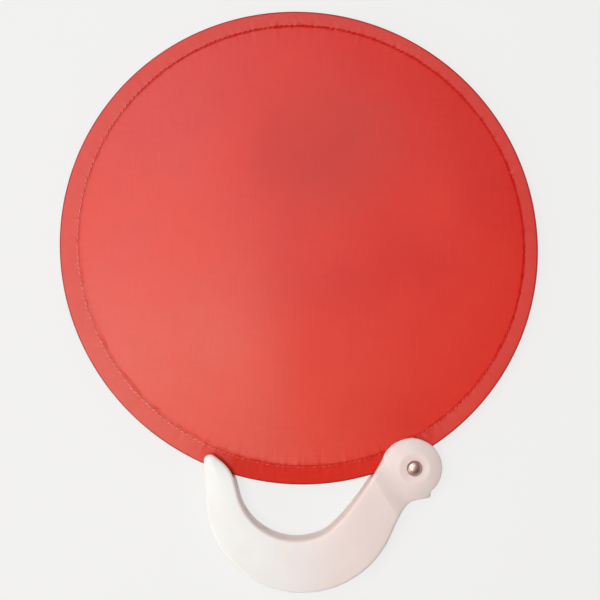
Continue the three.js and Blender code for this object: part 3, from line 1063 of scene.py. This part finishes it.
def warmWhitePlastic():
    p = mouldedPlastic
    material, tree, shader, place = newMaterial("warmWhitePlastic")
    # painted shade across the handle, darker away from the lamps
    sideShade = remap(tree, splitPlace(tree, place)[0], *p["sideShade"], 0, 1)
    cloud = noise(tree, place, p["cloudScale"], detail=3.0)
    speck = noise(tree, place, p["speckScale"], detail=3.0, rough=0.6)
    edges = readMark(tree, "rubbed")
    clouded = remap(tree, cloud, *p["cloudSpread"], 0, p["cloudShare"])
    worn = remap(tree, edges, *p["wornSpread"], 0, p["wornShare"])
    gapShade = times(tree, readMark(tree, "gapShade"), p["gapShadeShare"])
    body = mixPaint(tree, sideShade, p["white"], p["warm"])
    body = mixPaint(tree, clouded, body, p["clouded"])
    body = mixPaint(tree, worn, body, p["worn"])
    body = mixPaint(tree, gapShade, body, p["gapShade"])
    haze = spread(tree, cloud, *[p["roughness"] + change for change in p["haze"]])
    polish = remap(tree, edges, *p["polishSpread"], 0.0, p["polish"])
    setInputs(shader, {
        "Base Color": body,
        "Roughness": calc(tree, "SUBTRACT", haze, polish),
        "Specular IOR Level": p["shine"],
        "Normal": bump(tree, speck, p["speckDepth"]),
        **glowInputs(p),
    })
    return material


plasticFinish = warmWhitePlastic()
frontShell = makeShell("handle_front", 1)
rearShell = makeShell("handle_rear", -1)
dress(frontShell, plasticFinish, "handle", "handle_plastic", "handle_front_shell")
dress(rearShell, plasticFinish, "handle", "handle_plastic", "handle_rear_shell")
print("shells:", len(frontShell.data.polygons), "+", len(rearShell.data.polygons), "faces")

# The nickel rivet

rivetCaps = {
    "capRadius": 4.0,
    "capHeight": 2.0,
    "flange": 0.28,  # the thin upright edge under the dome
    "postRadius": 1.8,
    "sides": 72,
    "domeSteps": 18,
    "gap": 0.02,
    "undercut": 0.97,  # share of the radius at the cap's foot
    "chamfer": 0.06,
    "crownFlat": 0.02,  # radius of the small flat at the top
    "postRoom": 0.3,  # round the post, in the rear cap
    "sharpAngle": 40,
    "nickel": (217, 179, 170),
    "tarnishAndShade": (152, 96, 86),
    "hazeScale": 420.0,
    "hazeSpread": (0.4, 0.75),
    "hazeShare": 0.35,
    "shadeRingFrom": 0.7,  # painted shade: share of the radius where the darker ring round the cap's edge begins
    "edgeShare": 0.85,
    "roughness": (0.30, 0.38),
    "scratchStretch": (300, 9000, 300),
    "scratchTurn": 0.6,
    "scratchDepth": 0.000004,
}


def turnedMesh(name, profile):
    sides = rivetCaps["sides"]
    turns = np.arange(sides) * 2 * math.pi / sides
    points = []
    for radius, height in profile:
        points += [(radius * math.cos(t), radius * math.sin(t), height) for t in turns]
    return addMesh(name, np.array(points) + pivot, tubeFaces(len(profile), sides))


def capProfile(seat):
    r = rivetCaps
    start = seat + r["gap"]
    radius, shoulder = r["capRadius"], start + r["flange"]
    rim = [(radius * r["undercut"], start), (radius, start + r["chamfer"]), (radius, shoulder)]
    dome = []
    for turn in np.linspace(0, math.pi / 2, r["domeSteps"])[1:]:
        rise = (r["capHeight"] - r["flange"]) * math.sin(turn)
        dome.append((max(radius * math.cos(turn), r["crownFlat"]), shoulder + rise))
    return rim + dome


def makeRivet():
    r, m = rivetCaps, shellMould
    seat = m["headHalf"] - m["dishDepth"]
    cap = capProfile(seat)
    postEnd = -seat - r["capHeight"] / 2
    front = turnedMesh("rivet_front", [(r["postRadius"], postEnd), (r["postRadius"], seat)] + cap)
    rearTop = seat + r["capHeight"] / 2 + r["postRoom"]
    hole = r["postRadius"] + r["postRoom"]
    rearProfile = [(r["crownFlat"], rearTop), (hole, rearTop), (hole, seat)] + cap
    rear = turnedMesh("rivet_rear", [(radius, -height) for radius, height in rearProfile[::-1]])
    return sharpenEdges(front, r["sharpAngle"]), sharpenEdges(rear, r["sharpAngle"])


def satinNickel():
    r = rivetCaps
    material, tree, shader, place = newMaterial("satinNickel")
    haze = noise(tree, place, r["hazeScale"], detail=3.0)
    scratch = noise(tree, stretched(tree, place, r["scratchStretch"], r["scratchTurn"]), 1.0)
    flatPlace = vectorCalc(tree, "MULTIPLY", place, (1, 1, 0))[0]
    reach = vectorCalc(tree, "DISTANCE", flatPlace, (pivot[0] * mm, pivot[1] * mm, 0))["Value"]
    radius = r["capRadius"] * mm
    # painted shade: a darker ring round the cap's edge
    edges = remap(tree, reach, r["shadeRingFrom"] * radius, radius, 0.0, r["edgeShare"])
    hazed = remap(tree, haze, *r["hazeSpread"], 0, r["hazeShare"])
    body = mixPaint(tree, hazed, r["nickel"], r["tarnishAndShade"])
    setInputs(shader, {
        "Base Color": mixPaint(tree, edges, body, r["tarnishAndShade"]),
        "Metallic": 1.0,
        "Roughness": spread(tree, scratch, *r["roughness"]),
        "Normal": bump(tree, scratch, r["scratchDepth"]),
    })
    return material


nickelFinish = satinNickel()
rivetFront, rivetRear = makeRivet()
dress(rivetFront, nickelFinish, "handle", "rivet_nickel", "rivet_front_cap")
dress(rivetRear, nickelFinish, "handle", "rivet_nickel", "rivet_rear_cap")
print("rivet made")

# Inner pieces that stay as built

innerPieces = {
    "spring_hoop": {
        "finish": "springSteel",
        "tones": ((150, 153, 160), (96, 102, 118)),
        "toneNoise": (60.0, 2.0),  # scale and detail
        "grainStretch": (120, 120, 6000),
        "grainNoise": (1.0, 3.0),
        "grainDepth": 0.00001,
        "roughness": (0.24, 0.42),
        "metallic": 1.0,
    },
    "pivot_lug": {
        "finish": "lugPlastic",
        "tones": ((228, 220, 214), (204, 194, 188)),
        "toneNoise": (140.0, 3.0),
        "grainStretch": (1, 1, 1),
        "grainNoise": (2200.0, 2.0),
        "grainDepth": 0.00002,
        "roughness": (0.45, 0.58),
        "metallic": 0.0,
    },
}


def innerFinish(look):
    material, tree, shader, place = newMaterial(look["finish"])
    tone = spread(tree, noise(tree, place, *look["toneNoise"]), 0, 1)
    grain = noise(tree, stretched(tree, place, look["grainStretch"]), *look["grainNoise"])
    setInputs(shader, {
        "Base Color": mixPaint(tree, tone, *look["tones"]),
        "Metallic": look["metallic"],
        "Roughness": spread(tree, grain, *look["roughness"]),
        "Normal": bump(tree, grain, look["grainDepth"]),
    })
    return material


for nodeName, look in innerPieces.items():
    inner = frame["nodes"][nodeName]
    inner.data.materials.clear()
    inner.data.materials.append(innerFinish(look))
print("inner pieces finished")

# Studio: pale floor and backdrop, soft lamps mostly on the left, a weak warm fill on the right

studio = {
    "floorHalf": 12.0,
    "floorDrop": 0.05,  # millimetres under the fan
    "pale": (242, 242, 242),
    "floorGlow": 0.86,  # share of the floor's seen colour that doesn't depend on the lamps
    "horizon": 0.66,
    "zenith": 0.20,
    "fadeHeight": 0.75,  # sine of the height where the room has faded to its ceiling
    "leftSide": 1.14,  # the room is lighter on the left, where the lamps are
    "rightSide": 0.60,
    "nearSide": 0.97,
    "farSide": 1.08,
    "backdrop": 0.97,  # the pale cloth round the floor, as the camera and shiny pieces see it
    "backdropFade": (0.35, 0.70),  # sines of the heights between which it ends
}

lamps = {  # place, size, watts, colour
    "softbox": ((-0.33, 0.03, 0.90), 0.50, 2.9, (255, 251, 243)),
    "lowBox": ((-0.21, -0.21, 0.90), 0.18, 2.0, (255, 238, 202)),
    "windowLamp": ((-0.27, 0.47, 0.90), 0.32, 1.5, (244, 250, 255)),
    "roofLamp": ((0.09, 0.21, 0.92), 0.38, 0.65, (244, 250, 255)),
    "sideLamp": ((-0.75, -0.52, 0.55), 0.60, 1.7, (255, 255, 255)),
    "fillLamp": ((0.90, 0.20, 0.40), 0.60, 0.15, (255, 232, 218)),
}


def seenRays(tree):
    rays = addNode(tree, "ShaderNodeLightPath").outputs
    straight = calc(tree, "MAXIMUM", rays["Is Camera Ray"], rays["Is Glossy Ray"])
    return calc(tree, "MAXIMUM", straight, rays["Is Transmission Ray"])


def makeFloor():
    half = studio["floorHalf"] / mm
    level = -studio["floorDrop"]
    corners = [(x * half, y * half, level) for x, y in ((-1, -1), (1, -1), (1, 1), (-1, 1))]
    floor = addMesh("studio_floor", corners, [(0, 1, 2, 3)], smooth=False)
    material = bpy.data.materials.new("paleFloor")
    material.use_nodes = True
    tree = material.node_tree
    tree.nodes.clear()
    pale = {"Color": paint(*studio["pale"])}
    matte = addNode(tree, "ShaderNodeBsdfDiffuse", pale).outputs[0]
    glow = addNode(tree, "ShaderNodeEmission", pale).outputs[0]
    share = times(tree, seenRays(tree), studio["floorGlow"])
    mixed = addNode(tree, "ShaderNodeMixShader", {0: share, 1: matte, 2: glow}).outputs[0]
    addNode(tree, "ShaderNodeOutputMaterial", {"Surface": mixed})
    floor.data.materials.append(material)


def makeWorld():
    s = studio
    world = bpy.data.worlds.new("paleRoom")
    bpy.context.scene.world = world
    world.use_nodes = True
    tree = world.node_tree
    tree.nodes.clear()
    toSky = splitPlace(tree, addNode(tree, "ShaderNodeTexCoord").outputs["Generated"])
    level = remap(tree, toSky[2], 0.0, s["fadeHeight"], s["horizon"], s["zenith"])
    side = remap(tree, toSky[0], -1.0, 1.0, s["leftSide"], s["rightSide"])
    depth = remap(tree, toSky[1], -1.0, 1.0, s["nearSide"], s["farSide"])
    level = times(tree, level, times(tree, side, depth))
    backdrop = remap(tree, toSky[2], *s["backdropFade"], s["backdrop"], 0.0)
    level = calc(tree, "MAXIMUM", level, times(tree, seenRays(tree), backdrop))
    inputs = {"Color": paint(*s["pale"]), "Strength": level}
    light = addNode(tree, "ShaderNodeBackground", inputs).outputs[0]
    addNode(tree, "ShaderNodeOutputWorld", {"Surface": light})


def addLamp(name, place, size, power, colour):
    data = bpy.data.lights.new(name, "AREA")
    data.shape = "DISK"
    data.size = size
    data.energy = power
    data.color = paint(*colour)[:3]
    lamp = bpy.data.objects.new(name, data)
    lamp.location = place
    lamp.rotation_euler = (-Vector(place)).to_track_quat("-Z", "Y").to_euler()
    bpy.context.scene.collection.objects.link(lamp)


makeFloor()
makeWorld()
for lampName, setting in lamps.items():
    addLamp(lampName, *setting)
bpy.context.scene.view_settings.view_transform = "Standard"
print("studio lit")

bpy.context.view_layer.update()
